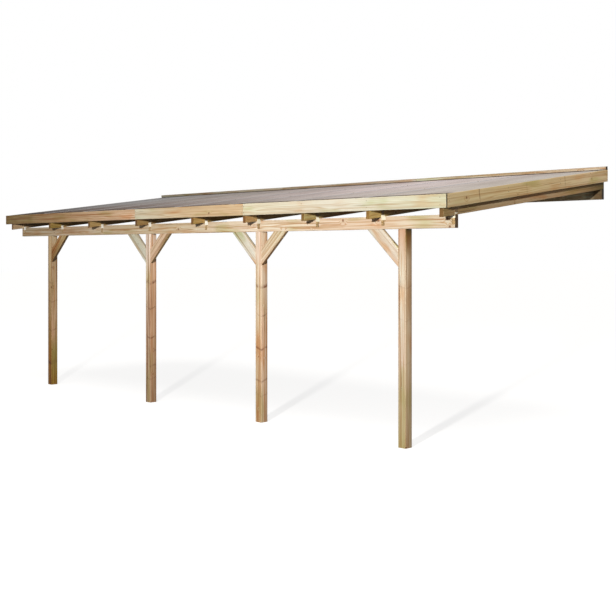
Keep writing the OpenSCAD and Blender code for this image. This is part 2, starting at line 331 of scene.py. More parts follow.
def makePine(name, length, middle, turn, board):
    look = pineLook | board
    material, tree, shader, places = startMaterial("planed pressure-treated pine, " + name)
    turned = [math.radians(angle) for angle in turn]
    seed = look["seed"]

    # the board's own axes: X along the grain, Y towards the side that shows, Z across
    inBoard = addNode(tree, "Mapping", {"Vector": places.outputs["Object"], "Location": middle,
                      "Rotation": turned}, vector_type="TEXTURE")
    axes = addNode(tree, "SeparateXYZ", {0: inBoard})
    along = axes.outputs["X"]
    share = addNode(tree, "Math", {0: along, 1: 1 / length, 2: 0.5}, operation="MULTIPLY_ADD")

    noises = {}
    for order, (kind, (alongScale, acrossScale, detail)) in enumerate(pineNoises.items()):
        spot = addNode(tree, "Mapping", {"Vector": inBoard, "Location": (seed + order, seed, order * 1.7),
                       "Scale": (alongScale, acrossScale, acrossScale)})
        noises[kind] = addNode(tree, "TexNoise", {"Vector": spot, "Scale": 1.0, "Detail": detail})

    # distance and angle from a pith that strays a little along the board
    wander, pith = look["wander"], look["pith"]
    stray = addNode(tree, "VectorMath", {0: noises["drift"].outputs["Color"], 1: (0, wander, wander),
                    2: (0, -pith[0] - wander / 2, -pith[1] - wander / 2)}, operation="MULTIPLY_ADD")
    fromPith = addNode(tree, "VectorMath", {0: inBoard, 1: stray}, operation="ADD")
    across = addNode(tree, "VectorMath", {0: fromPith, 1: (0, 1, 1)}, operation="MULTIPLY")
    radius = addNode(tree, "VectorMath", {0: across}, operation="LENGTH").outputs["Value"]
    sides = addNode(tree, "SeparateXYZ", {0: across})
    angle = addNode(tree, "Math", {0: sides.outputs["Z"], 1: sides.outputs["Y"]}, operation="ARCTAN2")

    # one place for a knot in each cell of the face, or of the way round a post
    roundReach = 50 * mm
    girth = addNode(tree, "Math", {0: angle, 1: roundReach}, operation="MULTIPLY")
    knotAcross = girth if look["knotsRound"] else axes.outputs["Z"]
    cellLength, cellWidth = look["knotCell"]
    cellX = addNode(tree, "Math", {0: along, 1: 1 / cellLength, 2: seed}, operation="MULTIPLY_ADD")
    cellY = addNode(tree, "Math", {0: knotAcross, 1: 1 / cellWidth, 2: seed}, operation="MULTIPLY_ADD")
    knotPlace = addNode(tree, "CombineXYZ", {0: cellX, 1: cellY})
    knots = addNode(tree, "TexVoronoi", {"Vector": knotPlace, "Scale": 1.0, "Randomness": 0.85},
                    voronoi_dimensions="2D")
    away = addNode(tree, "VectorMath", {0: knotPlace, 1: knots.outputs["Position"]}, operation="SUBTRACT")
    awayMetres = addNode(tree, "VectorMath", {0: away, 1: (cellLength, cellWidth, 0)}, operation="MULTIPLY")
    evenGap = addNode(tree, "VectorMath", {0: awayMetres}, operation="LENGTH").outputs["Value"]
    knotGap = addNode(tree, "Math", {0: noises["knotEdge"], 1: look["knotRagged"], 2: evenGap},
                      operation="MULTIPLY_ADD")
    chance = addNode(tree, "SeparateColor", {0: knots.outputs["Color"]})
    knotSize = addNode(tree, "MapRange", {"Value": chance, "From Min": 1 - look["knotShare"],
                       "To Max": look["knotSize"]})
    knotHeart = addNode(tree, "Math", {0: knotSize, 1: look["knotHeart"]}, operation="MULTIPLY")
    knot = addNode(tree, "MapRange", {"Value": knotGap, "From Min": knotSize, "From Max": knotHeart},
                   interpolation_type="SMOOTHSTEP")
    ringGap = addNode(tree, "Math", {0: knotGap, 1: knotSize, 2: look["knotRingWidth"]}, operation="COMPARE")
    isKnot = addNode(tree, "Math", {0: knotSize, 1: look["smallestKnot"]}, operation="GREATER_THAN")
    knotRing = addNode(tree, "Math", {0: ringGap, 1: isKnot}, operation="MULTIPLY")
    softRing = addNode(tree, "Math", {0: knotRing, 1: look["knotRingShare"]}, operation="MULTIPLY")
    swirlSize = addNode(tree, "Math", {0: knotSize, 1: look["swirlReach"], 2: look["swirlSpare"]},
                        operation="MULTIPLY_ADD")
    nearKnot = addNode(tree, "Math", {0: knotGap, 1: swirlSize}, operation="DIVIDE")
    nearSquared = addNode(tree, "Math", {0: nearKnot, 1: 2.0}, operation="POWER")
    fading = addNode(tree, "Math", {0: nearSquared, 1: -1.0}, operation="MULTIPLY")
    swirl = addNode(tree, "Math", {0: fading}, operation="EXPONENT")
    pushed = addNode(tree, "Math", {0: swirl, 1: knotSize}, operation="MULTIPLY")
    ringRadius = addNode(tree, "Math", {0: pushed, 1: -look["swirlPush"], 2: radius},
                         operation="MULTIPLY_ADD")

    # growth rings, with the dark latewood at the outside of each
    uneven = addNode(tree, "Math", {0: noises["uneven"], 1: look["ringUneven"]}, operation="MULTIPLY")
    ringCount = addNode(tree, "Math", {0: ringRadius, 1: 1 / look["ringPitch"], 2: uneven},
                        operation="MULTIPLY_ADD")
    ring = addNode(tree, "Math", {0: ringCount}, operation="FRACT")
    lateLine = addNode(tree, "ValToRGB", {0: ring})
    fillRamp(lateLine, [(0.0, 0.0), (0.4, 0.05), (0.84, 1.0), (1.0, 0.0)])
    lateShare = addNode(tree, "Math", {0: lateLine, 1: look["contrast"]}, operation="MULTIPLY")

    tintsAndPaintedLight = [(lateShare, "latewood")]
    for kind, low, high, strength, colourLayer in (
            ("streak", 0.42, 0.72, look["streaks"], "streak"),
            ("patch", 0.54, 0.72, look["orange"], "orangeTint"),
            ("patch", 0.46, 0.28, look["green"], "greenTint"),
            ("check", 0.70, 0.76, look["checks"], "checkColour")):
        mask = addNode(tree, "MapRange", {"Value": noises[kind], "From Min": low, "From Max": high,
                       "To Max": strength}, interpolation_type="SMOOTHSTEP")
        tintsAndPaintedLight.append((mask, colourLayer))
    checkMask = mask
    tintsAndPaintedLight += [(knot, "knotColour"), (softRing, "knotRing")]

    if look["whorls"]:  # rings of branches pruned at one height, lowest at the corner that shows
        wave, dip = look["whorlWave"], look["whorlDip"]
        cornerOut = 2 * 50 * mm  # a post's corner lies this far out, across and towards the front together
        corner = addNode(tree, "Math", {0: axes.outputs["Y"], 1: axes.outputs["Z"]}, operation="ADD")
        dipped = addNode(tree, "Math", {0: corner, 1: dip, 2: along}, operation="MULTIPLY_ADD")
        ragged = addNode(tree, "Math", {0: noises["whorl"], 1: wave, 2: dipped}, operation="MULTIPLY_ADD")
        raggedShare = addNode(tree, "Math", {0: ragged, 1: 1 / length, 2: 0.5}, operation="MULTIPLY_ADD")
        band = addNode(tree, "ValToRGB", {0: raggedShare})
        stops = [(0.0, 0.0)]
        for height, strength, half in look["whorls"]:
            place = (height + wave / 2 + dip * cornerOut) / length
            reach = half * mm / length
            stops += [(place - reach, 0.0), (place - reach / 2, strength), (place + reach, 0.0)]
        fillRamp(band, stops)
        broken = addNode(tree, "MapRange", {"Value": noises["whorl"], "From Min": 0.38, "From Max": 0.55,
                         "To Min": 0.15})
        branches = addNode(tree, "Math", {0: band, 1: broken}, operation="MULTIPLY")
        tintsAndPaintedLight.append((branches, "whorlColour"))

    # end grain, where the surface faces along the board
    grainWay = Euler(turned).to_matrix() @ Vector((1, 0, 0))
    facing = addNode(tree, "VectorMath", {0: places.outputs["Normal"], 1: grainWay}, operation="DOT_PRODUCT")
    facingAlong = addNode(tree, "Math", {0: facing.outputs["Value"]}, operation="ABSOLUTE")
    endGrain = addNode(tree, "MapRange", {"Value": facingAlong, "From Min": 0.75, "From Max": 0.9})
    tintsAndPaintedLight.append((endGrain, "endGrain"))
    normal = addNode(tree, "SeparateXYZ", {0: places.outputs["Normal"]})
    # painted shade on the faces that look down, where little light reaches
    underside = addNode(tree, "MapRange", {"Value": normal.outputs["Z"], "From Min": -0.6, "From Max": -0.8})
    tintsAndPaintedLight.append((underside, "underside"))

    # the tones along the board are partly the wood's own and partly painted light and shade, where a part
    # lies in light or in shade
    tone = addNode(tree, "ValToRGB", {0: share})
    fillRamp(tone, look["tones"])
    colour = tone.outputs[0]
    if "sideTones" in look:  # painted light and shade on the side that faces right, in tones of its own
        sideTone = addNode(tree, "ValToRGB", {0: share})
        fillRamp(sideTone, look["sideTones"])
        facingRight = addNode(tree, "MapRange", {"Value": normal, "From Min": 0.45, "From Max": 0.6})
        colour = addNode(tree, "Mix", {0: facingRight, 6: colour, 7: sideTone}, data_type="RGBA").outputs[2]
    for amount, colourLayer in tintsAndPaintedLight:
        colour = addNode(tree, "Mix", {0: amount, 6: colour, 7: linear(look[colourLayer])},
                         data_type="RGBA", blend_type="MULTIPLY").outputs[2]
    setSurface(tree, shader, look, colour, noises["fibre"], 0.3, 0.7)

    # raised latewood and knots, fibres and open checks
    relief = addNode(tree, "Math", {0: lateLine, 1: look["lateRelief"]}, operation="MULTIPLY")
    for height, kind in ((noises["fibre"], "fibreRelief"), (knot, "knotRelief"), (checkMask, "checkRelief")):
        relief = addNode(tree, "Math", {0: height, 1: look[kind], 2: relief}, operation="MULTIPLY_ADD")
    bump = addNode(tree, "Bump", {"Height": relief, "Distance": mm, "Strength": look["reliefShare"]})
    tree.links.new(bump.outputs[0], shader.inputs["Normal"])
    return material


def finishBoard(piece, node, length, turn, board, ending="_timber"):
    low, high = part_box(node)
    finishPiece(piece, node + ending, makePine(node, length, (low + high) / 2, turn, board), [node])


beamLow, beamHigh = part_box("beam_left")
beamUnderside, beamTop = beamLow.z, beamHigh.z

# Fittings: each finish has grains of its own size, which differ a little in tone and in gloss
fittings = {
    # black rubber, dulled brown by dust and matt
    "rubber": {"name": "dusty black rubber", "colour": "#3c2c1c", "dark": "#33261a",
               "grain": 4 * mm, "roughness": (0.8, 0.95), "metallic": 0.0},
    # hot-dip galvanised steel: pale, with broad spangles
    "galvanised": {"name": "hot-dip galvanised steel", "colour": "#f6f0df", "dark": "#d9d2c0",
                   "grain": 9 * mm, "roughness": (0.45, 0.65), "metallic": 0.15},
    # the anchors: pale galvanised steel with a painted highlight on the nose, painted shade above and below
    # it, and painted shade towards the right, where the lamp is nearer
    "anchorLightAndShade": {"name": "hot-dip galvanised steel with banded stains", "colour": "#fffdf2", "dark": "#f4ecd8",
                "grain": 9 * mm, "roughness": (0.45, 0.65), "metallic": 0.1, "darkened": "#dcd8cc",
                "darkenedFrom": 0.4, "darkenedTo": 1.3,
                "tintsAndPaintedLight": [(-0.038, "#c4a67c"), (-0.033, "#ffffff"), (0.016, "#ffffff"), (0.021, "#7d6238")]},
    # nails and screws with a dulled zinc coat: darker, and finely mottled
    "zinc": {"name": "dulled zinc-plated steel", "colour": "#a89a80", "dark": "#7d7260",
             "grain": 2 * mm, "roughness": (0.4, 0.6), "metallic": 0.8},
    # nails with a black phosphate coat: nearly black and matt
    "phosphated": {"name": "black phosphated steel", "colour": "#3a332b", "dark": "#2a251f",
                   "grain": 2 * mm, "roughness": (0.55, 0.7), "metallic": 0.6},
    # extruded strip in the sheets' own tinted polycarbonate: even, smooth and grey
    "teeStrip": {"name": "tinted polycarbonate tee strip", "colour": "#a9a5a4", "dark": "#9b9796",
                 "grain": 4 * mm, "roughness": (0.35, 0.45), "metallic": 0.0},
}


def makeFittingFinish(look):
    material, tree, shader, places = startMaterial(look["name"])
    cells = addNode(tree, "TexVoronoi", {"Vector": places.outputs["Object"], "Scale": 1 / look["grain"]})
    cell = addNode(tree, "SeparateColor", {0: cells.outputs["Color"]})
    base = addNode(tree, "Mix", {0: cell.outputs[0], 6: linear(look["dark"]), 7: linear(look["colour"])},
                   data_type="RGBA")
    colour = base.outputs[2]
    # painted highlight on the nose and painted shade above and below it, then painted shade towards the right
    if "tintsAndPaintedLight" in look:  # by the height over the beam's top, in metres
        axes = addNode(tree, "SeparateXYZ", {0: places.outputs["Object"]})
        bandLow, bandHigh = look["tintsAndPaintedLight"][0][0], look["tintsAndPaintedLight"][-1][0]
        share = addNode(tree, "MapRange", {"Value": axes.outputs["Z"], "From Min": beamTop + bandLow,
                        "From Max": beamTop + bandHigh})
        colourLayer = addNode(tree, "ValToRGB", {0: share})
        fillRamp(colourLayer, [((z - bandLow) / (bandHigh - bandLow), tint) for z, tint in look["tintsAndPaintedLight"]])
        darkened = addNode(tree, "MapRange", {"Value": axes, "From Min": look["darkenedFrom"],
                         "From Max": look["darkenedTo"]})
        for amount, tint in ((1.0, colourLayer), (darkened, linear(look["darkened"]))):
            colour = addNode(tree, "Mix", {0: amount, 6: colour, 7: tint}, data_type="RGBA",
                             blend_type="MULTIPLY").outputs[2]
    setSurface(tree, shader, look, colour, cell.outputs[1], 0, 1)
    return material


finishes = {kind: makeFittingFinish(look) for kind, look in fittings.items()}
print("fittings' finishes made")


# One countersunk screw, with its head sunk a little and a six-sided socket, and the hole for it
screwSizes = {"head": 5 * mm, "neck": 2.5 * mm, "headHeight": 3 * mm, "sunk": 0.8 * mm,
              "socket": 2.2 * mm, "socketDepth": 1.5 * mm, "hole": 5.6 * mm, "holeDepth": 1.6 * mm,
              "spare": 1 * mm}


def makeScrew():
    top = -screwSizes["sunk"]
    height = screwSizes["headHeight"]
    bpy.ops.mesh.primitive_cone_add(vertices=16, radius1=screwSizes["neck"], radius2=screwSizes["head"],
                                    depth=height, location=(0, 0, top - height / 2))
    screw = bpy.context.object
    applyPlace(screw)
    carve(screw, addRod((0, 0, top), screwSizes["socket"], 2 * screwSizes["socketDepth"], vertices=6))
    return screw


def sinkScrews(board, places):  # countersinks the board and returns the screws, joined
    depth, spare = screwSizes["holeDepth"], screwSizes["spare"]
    hole = addRod((0, 0, (spare - depth) / 2), screwSizes["hole"], depth + spare, vertices=16)
    carve(board, placeCopies(hole, places))
    bpy.data.objects.remove(hole)
    return placeCopies(screwModel, places)


screwModel = makeScrew()


def makeBolt(head, headHeight, washer, washerHeight, shank, shankLength):  # stands on z = 0
    disc = addRod((0, 0, washerHeight / 2), washer, washerHeight, vertices=32)
    hexagon = addRod((0, 0, washerHeight + headHeight / 2), head, headHeight, vertices=6)
    rod = addRod((0, 0, -shankLength / 2), shank, shankLength, vertices=24)
    arris = 0.06 * head
    for part in (disc, hexagon, rod):
        breakSharpEdges(part, arris)
    return joinAll([disc, hexagon, rod])


# The posts are planed square, and the sun has dried them open in places
postSizes = {"edge": 6 * mm, "arris": 1.5 * mm, "checkWidth": 1.5 * mm, "checkDepth": 16 * mm}
postWhorls = ((0.30, 0.4, 10), (0.47, 0.7, 12), (0.84, 1.0, 13), (1.22, 0.8, 9), (1.555, 1.0, 26))
# the second tone ramp of each post paints light and shade on its side that faces right
postBoards = {
    "post_1": {"seed": 1.7, "checksAt": ((0.012, 0.9, 0.30),), "streak": "#a8845c",
               "tones": [(0.0, "#7c581c"), (0.22, "#94641c"), (0.34, "#94743c"), (1.0, "#e0cca4")],
               "sideTones": [(0.0, "#9c8034"), (0.22, "#a49454"), (0.34, "#c8a480"), (1.0, "#e0d0ac")],
               "whorls": ((0.32, 1.0, 40), (0.80, 0.6, 10), (1.22, 0.6, 10), (1.50, 0.7, 12))},
    "post_2": {"seed": 5.2, "checksAt": ((-0.010, 1.3, 0.35),), "streak": "#a8845c", "whorls": postWhorls,
               "tones": [(0.0, "#b09a7c"), (0.5, "#bca088"), (0.75, "#e8d8c0"), (1.0, "#fff8f0")],
               "sideTones": [(0.0, "#b09070"), (0.55, "#d0a884"), (0.85, "#f4cca8"), (1.0, "#ffe8d0")]},
    "post_3": {"seed": 8.9, "checksAt": ((0.008, 0.7, 0.40),), "whorls": postWhorls,
               "tones": [(0.0, "#bca07c"), (0.5, "#d0bc9c"), (1.0, "#f0e0d0")],
               "sideTones": [(0.0, "#ccb498"), (0.5, "#e4c4a4"), (1.0, "#fff8e4")]},
    "post_4": {"seed": 12.4, "checksAt": ((-0.014, 1.0, 0.28),), "contrast": 0.65, "streaks": 0.8,
               "tones": [(0.0, "#9c9468"), (0.4, "#bcac98"), (0.8, "#c8c0ac"), (1.0, "#b89478")],
               # the side that faces right darkens sharply at the top, under the beam: painted shadow
               "sideTones": [(0.0, "#b09c7c"), (0.86, "#ccb494"), (0.96, "#90703c"), (1.0, "#4c401c")],
               "whorls": ((0.84, 0.2, 8), (1.27, 0.3, 8), (1.60, 0.3, 8))},
}
for name, board in postBoards.items():
    low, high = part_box(name)
    post = addBlock(low, high)
    roundLongEdges(post, 2, postSizes["edge"])
    breakSharpEdges(post, postSizes["arris"])
    for offset, height, half in board["checksAt"]:  # drying checks, as thin spindles cut out
        bpy.ops.mesh.primitive_ico_sphere_add(
            subdivisions=2, location=((low.x + high.x) / 2 + offset, low.y, low.z + height),
            scale=(postSizes["checkWidth"], postSizes["checkDepth"], half))
        check = bpy.context.object
        applyPlace(check)
        carve(post, check)
    grain = {"pith": (0.004, -0.006), "wander": 16 * mm, "knotsRound": True, "knotCell": (0.3, 0.07),
             "knotSize": 10 * mm, "knotShare": 0.3, "contrast": 0.9, "streaks": 1.0, "checks": 0.9}
    finishBoard(post, name, high.z - low.z, (180, -90, 0), grain | board)
print("posts made")


# The braces: boards set into the corner between post and beam, with two pocket screws each
braceSizes = {"width": 140 * mm, "edge": 8 * mm, "arris": 1 * mm, "pocket": 6.5 * mm,
              "pocketDepth": 14 * mm, "pocketsAt": (0.17, 0.83)}
braceGrain = {"contrast": 0.85, "streaks": 0.9, "orange": 0.8, "green": 0.8}
# the second tone ramp of each brace paints light and shade on its edges that face right
braceBoards = {
    "brace_1_right": {"seed": 2.1, "contrast": 1.0, "streaks": 1.0, "streak": "#a07848",
                      "tones": [(0.0, "#906c34"), (0.6, "#c0a878"), (1.0, "#dcc898")],
                      "sideTones": [(0.0, "#988058")]},
    "brace_2_left": {"seed": 3.6, "contrast": 0.6, "streaks": 0.6, "green": 0.4,
                     "tones": [(0.0, "#d8d8c8"), (1.0, "#d4d4bc")], "sideTones": [(0.0, "#d0c8b0")]},
    "brace_2_right": {"seed": 4.4, "streak": "#a8845c", "tones": [(0.0, "#dcc0a4"), (1.0, "#e0ccb0")],
                      "sideTones": [(0.0, "#f0d8ac")]},
    "brace_3_left": {"seed": 6.3, "tones": [(0.0, "#e4e4d8"), (1.0, "#dcdccc")],
                     "sideTones": [(0.0, "#e8e0c8")]},
    "brace_3_right": {"seed": 7.5, "tones": [(0.0, "#dcccb4"), (1.0, "#dcd8bc")],
                      "sideTones": [(0.0, "#dcc49c")]},
    "brace_4_left": {"seed": 9.8, "contrast": 0.6, "streaks": 0.6,
                     "tones": [(0.0, "#ccc0b0"), (1.0, "#ccc8b8")], "sideTones": [(0.0, "#f0e0c4")]},
}
braceScrews = []
for name, board in braceBoards.items():
    low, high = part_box(name)
    way = 1 if name.endswith("right") else -1
    foot = Vector((low.x if way > 0 else high.x, low.y, low.z))  # the lowest tip, on the post
    reach, drop, thick = high.x - low.x, high.z - low.z, high.y - low.y
    pitch = math.degrees(math.atan2(drop, reach))
    halfLength = math.hypot(reach, drop) / 2 + braceSizes["width"]
    brace = addBlock((-halfLength, -thick / 2, 0), (halfLength, thick / 2, braceSizes["width"]))
    roundLongEdges(brace, 0, braceSizes["edge"])
    brace.rotation_euler = (0, math.radians(-pitch), 0 if way > 0 else math.radians(180))
    brace.location = foot + Vector((way * reach / 2, thick / 2, drop / 2))
    applyPlace(brace)
    cutAway(brace, foot, (-way, 0, 0))
    cutAway(brace, (0, 0, high.z), (0, 0, 1))
    breakSharpEdges(brace, braceSizes["arris"])
    for share, direction in zip(braceSizes["pocketsAt"], (Vector((way, 0, 0)), Vector((0, 0, -1)))):
        mouth = foot + Vector((way * reach * share, thick / 2, drop * share))
        pocket = addRod(mouth, braceSizes["pocket"], 2 * braceSizes["pocketDepth"], vertices=20,
                        turn=direction.to_track_quat("Z", "Y").to_euler())
        carve(brace, pocket)
        braceScrews.append((mouth - direction * braceSizes["pocketDepth"], direction))
    finishBoard(brace, name, math.hypot(reach, drop),
                (180, -pitch if way > 0 else pitch - 180, 0), braceGrain | board)
finishPiece(placeCopies(screwModel, braceScrews), "brace_screws", finishes["zinc"])
print("braces made")


# The beam on the posts and the ledger on the wall, which is bolted in the middle of each bay
beamBoards = {
    "beam_left": {"seed": 14.3, "contrast": 0.8, "streaks": 0.8,
                  "tones": [(0.0, "#ccc4a8"), (0.25, "#d4c0a4"), (0.7, "#d8c8a8"), (1.0, "#ecdec8")]},
    "beam_right": {"seed": 17.9, "contrast": 0.8, "streaks": 0.8, "knotShare": 0.8, "knotSize": 18 * mm,
                   "tones": [(0.0, "#e8dcc4"), (0.5, "#d8c4ac"), (1.0, "#bcb098")], "endGrain": "#68583a"},
    "ledger_left": {"seed": 21.2, "tones": [(0.0, "#70583c"), (1.0, "#7c6444")]},
    # near white where the roof shades it and dark at its right end: painted light and shade
    "ledger_right": {"seed": 23.8, "contrast": 0.6, "streaks": 0.5, "knotSize": 22 * mm,
                     "tones": [(0.0, "#7c6444"), (0.76, "#ccb488"), (0.94, "#fffcdc"), (0.975, "#645438")],
                     "endGrain": "#6a5738"},
}
boltSizes = {"head": 11 * mm, "headHeight": 7.5 * mm, "washer": 15 * mm, "washerHeight": 2.5 * mm,
             "shank": 5 * mm, "shankLength": 49 * mm}
beamSizes = {"edge": 3 * mm, "arris": 1 * mm, "boltHole": 6 * mm, "boltHoleDepth": 120 * mm}
boltPlaces = []
for mount in frame["record"]["mounts"]:
    if mount["kind"] == "bolt_pattern":
        for side in (-0.5, 0.5):
            boltPlaces.append(mount["pos_m"][0] + side * mount["dims"]["spacing_x_mm"] * mm)
for name, board in beamBoards.items():
    low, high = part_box(name)
    timber = addBlock(low, high)
    roundLongEdges(timber, 0, beamSizes["edge"])
    breakSharpEdges(timber, beamSizes["arris"])
    for x in boltPlaces:
        if name.startswith("ledger") and low.x < x < high.x:
            hole = addRod((x, (low.y + high.y) / 2, 0), beamSizes["boltHole"], beamSizes["boltHoleDepth"],
                          vertices=32, turn=(math.radians(90), 0, 0))
            carve(timber, hole)
    finishBoard(timber, name, high.x - low.x, (180, 0, 0), board)

ledgerLow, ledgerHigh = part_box("ledger_left")
boltModel = makeBolt(**boltSizes)
bolts = placeCopies(boltModel, [((x, ledgerLow.y, 0), (0, -1, 0)) for x in boltPlaces])
bpy.data.objects.remove(boltModel)
finishPiece(bolts, "wall_bolts", finishes["galvanised"])
print("beam, ledger and wall bolts made")


# The sloping roof: rafters, purlins, edge boards, batten and sheets
roofPlan = {"slope": 7.5, "rafterTop": 130 * mm, "purlinTop": 200 * mm, "sheetTop": 216 * mm,
            "battenTop": 256 * mm, "edge": 3 * mm, "arris": 1 * mm, "spare": 40 * mm, "notchSpare": 10 * mm}
purlinCount, sheetCount = 4, 8
slope = math.radians(roofPlan["slope"])
pivotY = beamHigh.y
slopeUp = Vector((0, -math.sin(slope), math.cos(slope)))


def upSlope(y, lift):  # distance up the slope of a point at y, lift above the rafters' undersides
    return (y - pivotY + lift * math.sin(slope)) / math.cos(slope)


def onSlope(x, distance, lift):  # the point that lies there
    return Vector((x, pivotY + distance * math.cos(slope) - lift * math.sin(slope),
                   beamTop + distance * math.sin(slope) + lift * math.cos(slope)))


def setOnSlope(piece):  # from the roof's own axes, with Y up the slope, to the frame's
    piece.rotation_euler = (slope, 0, 0)
    piece.location = (0, pivotY, beamTop)
    applyPlace(piece)


def addSlopingBoard(node, bottom, top, longAxis, edge, plumb=False):
    low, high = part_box(node)
    front, back = upSlope(low.y, top), upSlope(high.y, bottom)
    if plumb:
        front, back = upSlope(low.y, bottom) - roofPlan["spare"], upSlope(high.y, top) + roofPlan["spare"]
    board = addBlock((low.x, front, bottom), (high.x, back, top))
    roundLongEdges(board, longAxis, edge)
    setOnSlope(board)
    if plumb:
        cutAway(board, low, (0, -1, 0))
        cutAway(board, high, (0, 1, 0))
    breakSharpEdges(board, roofPlan["arris"])
    return board


rafterPairs = (  # colours of the front end and of the rest, from the left: the front ends are painted light where the tails stand out in the lamp's light, and each rafter darkens towards the wall under the roof: painted shade
    ("#bca888", "#8c7450"), ("#b09658", "#94784c"), ("#b09460", "#a88c64"), ("#9c8050", "#a4885c"),
    ("#bc9c60", "#b4945c"), ("#b89a68", "#b8a070"), ("#b8a870", "#bca074"), ("#c4ac6c", "#c0a478"))
rafterTones = [[(0.06, front), (0.12, rest), (1.0, "#6e5a38")] for front, rest in rafterPairs]
rafterTones.append([(0.0, "#a89068"), (0.5, "#c8ac84"), (0.8, "#cea878"), (1.0, "#6c5c28")])
rafterMiddles = []
for number, tones in enumerate(rafterTones, 1):
    name = f"rafter_{number}"
    low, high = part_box(name)
    rafter = addSlopingBoard(name, 0.0, roofPlan["rafterTop"], 1, roofPlan["edge"], plumb=True)
    left, right = low.x - roofPlan["notchSpare"], high.x + roofPlan["notchSpare"]
    carve(rafter, addBlock((left, beamLow.y, beamUnderside), (right, beamHigh.y, beamTop)))
    carve(rafter, addBlock((left, ledgerLow.y, ledgerLow.z), (right, roofPlan["notchSpare"], ledgerHigh.z)))
    rafterMiddles.append((low.x + high.x) / 2)
    board = {"seed": 30 + number * 1.37, "endGrain": "#a89478", "tones": tones}
    finishBoard(rafter, name, high.y - low.y, (180, -roofPlan["slope"], 90), board)

for number in range(1, purlinCount + 1):
    name = f"purlin_{number}"
    low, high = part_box(name)
    purlin = addSlopingBoard(name, roofPlan["rafterTop"], roofPlan["purlinTop"], 0, roofPlan["edge"])
    board = {"seed": 50 + number * 2.3, "tones": [(0.0, "#a98d64"), (1.0, "#b89c72")]}
    finishBoard(purlin, name, high.x - low.x, (180 + roofPlan["slope"], 0, 0), board)
print("rafters and purlins made")

# Boards round the edge, screwed to the ends of the rafters and of the purlins
edgeBoards = {
    "fascia_left": {"seed": 61.4, "knotShare": 0.25, "contrast": 1.0, "streaks": 1.0,
                    "tones": [(0.0, "#7c6a3c"), (0.5, "#b89c78"), (1.0, "#dcc4a8")]},
    "fascia_middle": {"seed": 64.9, "knotShare": 0.1, "contrast": 0.45, "streaks": 0.45,
                      "tones": [(0.0, "#d4d0b8"), (0.5, "#cab28e"), (1.0, "#c8b08c")]},
    # its end grain is dark to draw the shadow line at the corner joint: painted shade
    "fascia_right": {"seed": 68.2, "knotShare": 0.1, "contrast": 0.5, "streaks": 0.45, "endGrain": "#54422c",
                     "tones": [(0.0, "#d4ceb4"), (0.5, "#c8c4b4"), (1.0, "#b4b69c")]},
    "side_fascia_left": {"seed": 71.7, "tones": [(0.0, "#a48860"), (1.0, "#b09468")]},
    # its underside is painted near black: painted shade under the board's overhang
    "side_fascia_right": {"seed": 75.3, "whorlDip": 0.0, "whorlWave": 16 * mm, "underside": "#3a2e20",
                          "whorls": ((0.50, 0.9, 9), (1.32, 0.5, 7), (2.05, 0.7, 8), (2.62, 0.4, 7)),
                          "tones": [(0.0, "#ccb88c"), (0.5, "#e4cc98"), (1.0, "#ffe2b4")]},
}
screwPairs = {"apart": 70 * mm, "apartOnPurlin": 40 * mm, "fromJoint": 14 * mm, "nearJoint": 10 * mm}
boardHeight = 133 * mm
edgeScrews = []
for name, board in edgeBoards.items():
    low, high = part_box(name)
    if name.startswith("side"):
        way = 1 if name.endswith("right") else -1
        fascia = addSlopingBoard(name, roofPlan["sheetTop"] - boardHeight, roofPlan["sheetTop"], 1,
                                 roofPlan["edge"], plumb=True)
        spots = []
        for number in range(1, purlinCount + 1):
            purlinMiddle = sum(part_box(f"purlin_{number}"), Vector()) / 2
            for side in (-0.5, 0.5):
                spot = purlinMiddle + slopeUp * side * screwPairs["apartOnPurlin"]
                spots.append(((high.x if way > 0 else low.x, spot.y, spot.z), (way, 0, 0)))
        slot, length, turn = "side_board", high.y - low.y, (180 if way > 0 else 0, -roofPlan["slope"], 90)
    else:
        fascia = addBlock(low, high)
        roundLongEdges(fascia, 0, roofPlan["edge"])
        breakSharpEdges(fascia, roofPlan["arris"])
        spots = []
        for x in rafterMiddles:
            if low.x - screwPairs["nearJoint"] < x < high.x + screwPairs["nearJoint"]:
                x = min(max(x, low.x + screwPairs["fromJoint"]), high.x - screwPairs["fromJoint"])
                for side in (-0.5, 0.5):
                    z = (low.z + high.z) / 2 + side * screwPairs["apart"]
                    spots.append(((x, low.y, z), (0, -1, 0)))
        slot, length, turn = "fascia_board", high.x - low.x, (180, 0, 0)
    edgeScrews.append(sinkScrews(fascia, spots))
    finishBoard(fascia, name, length, turn, board, ending="_board")
finishPiece(joinAll(edgeScrews), "edge_board_screws", finishes["zinc"])

# The batten along the wall holds the sheets' upper ends down
battenGrain = {"contrast": 0.9, "streaks": 0.9}
battenBoards = {
    "wall_batten_left": {"seed": 81.1, "tones": [(0.0, "#9c9882"), (1.0, "#b8b2a2")]},
    "wall_batten_right": {"seed": 84.6, "tones": [(0.0, "#b4b498"), (1.0, "#d4d0c4")], "endGrain": "#5a4c34"},
}
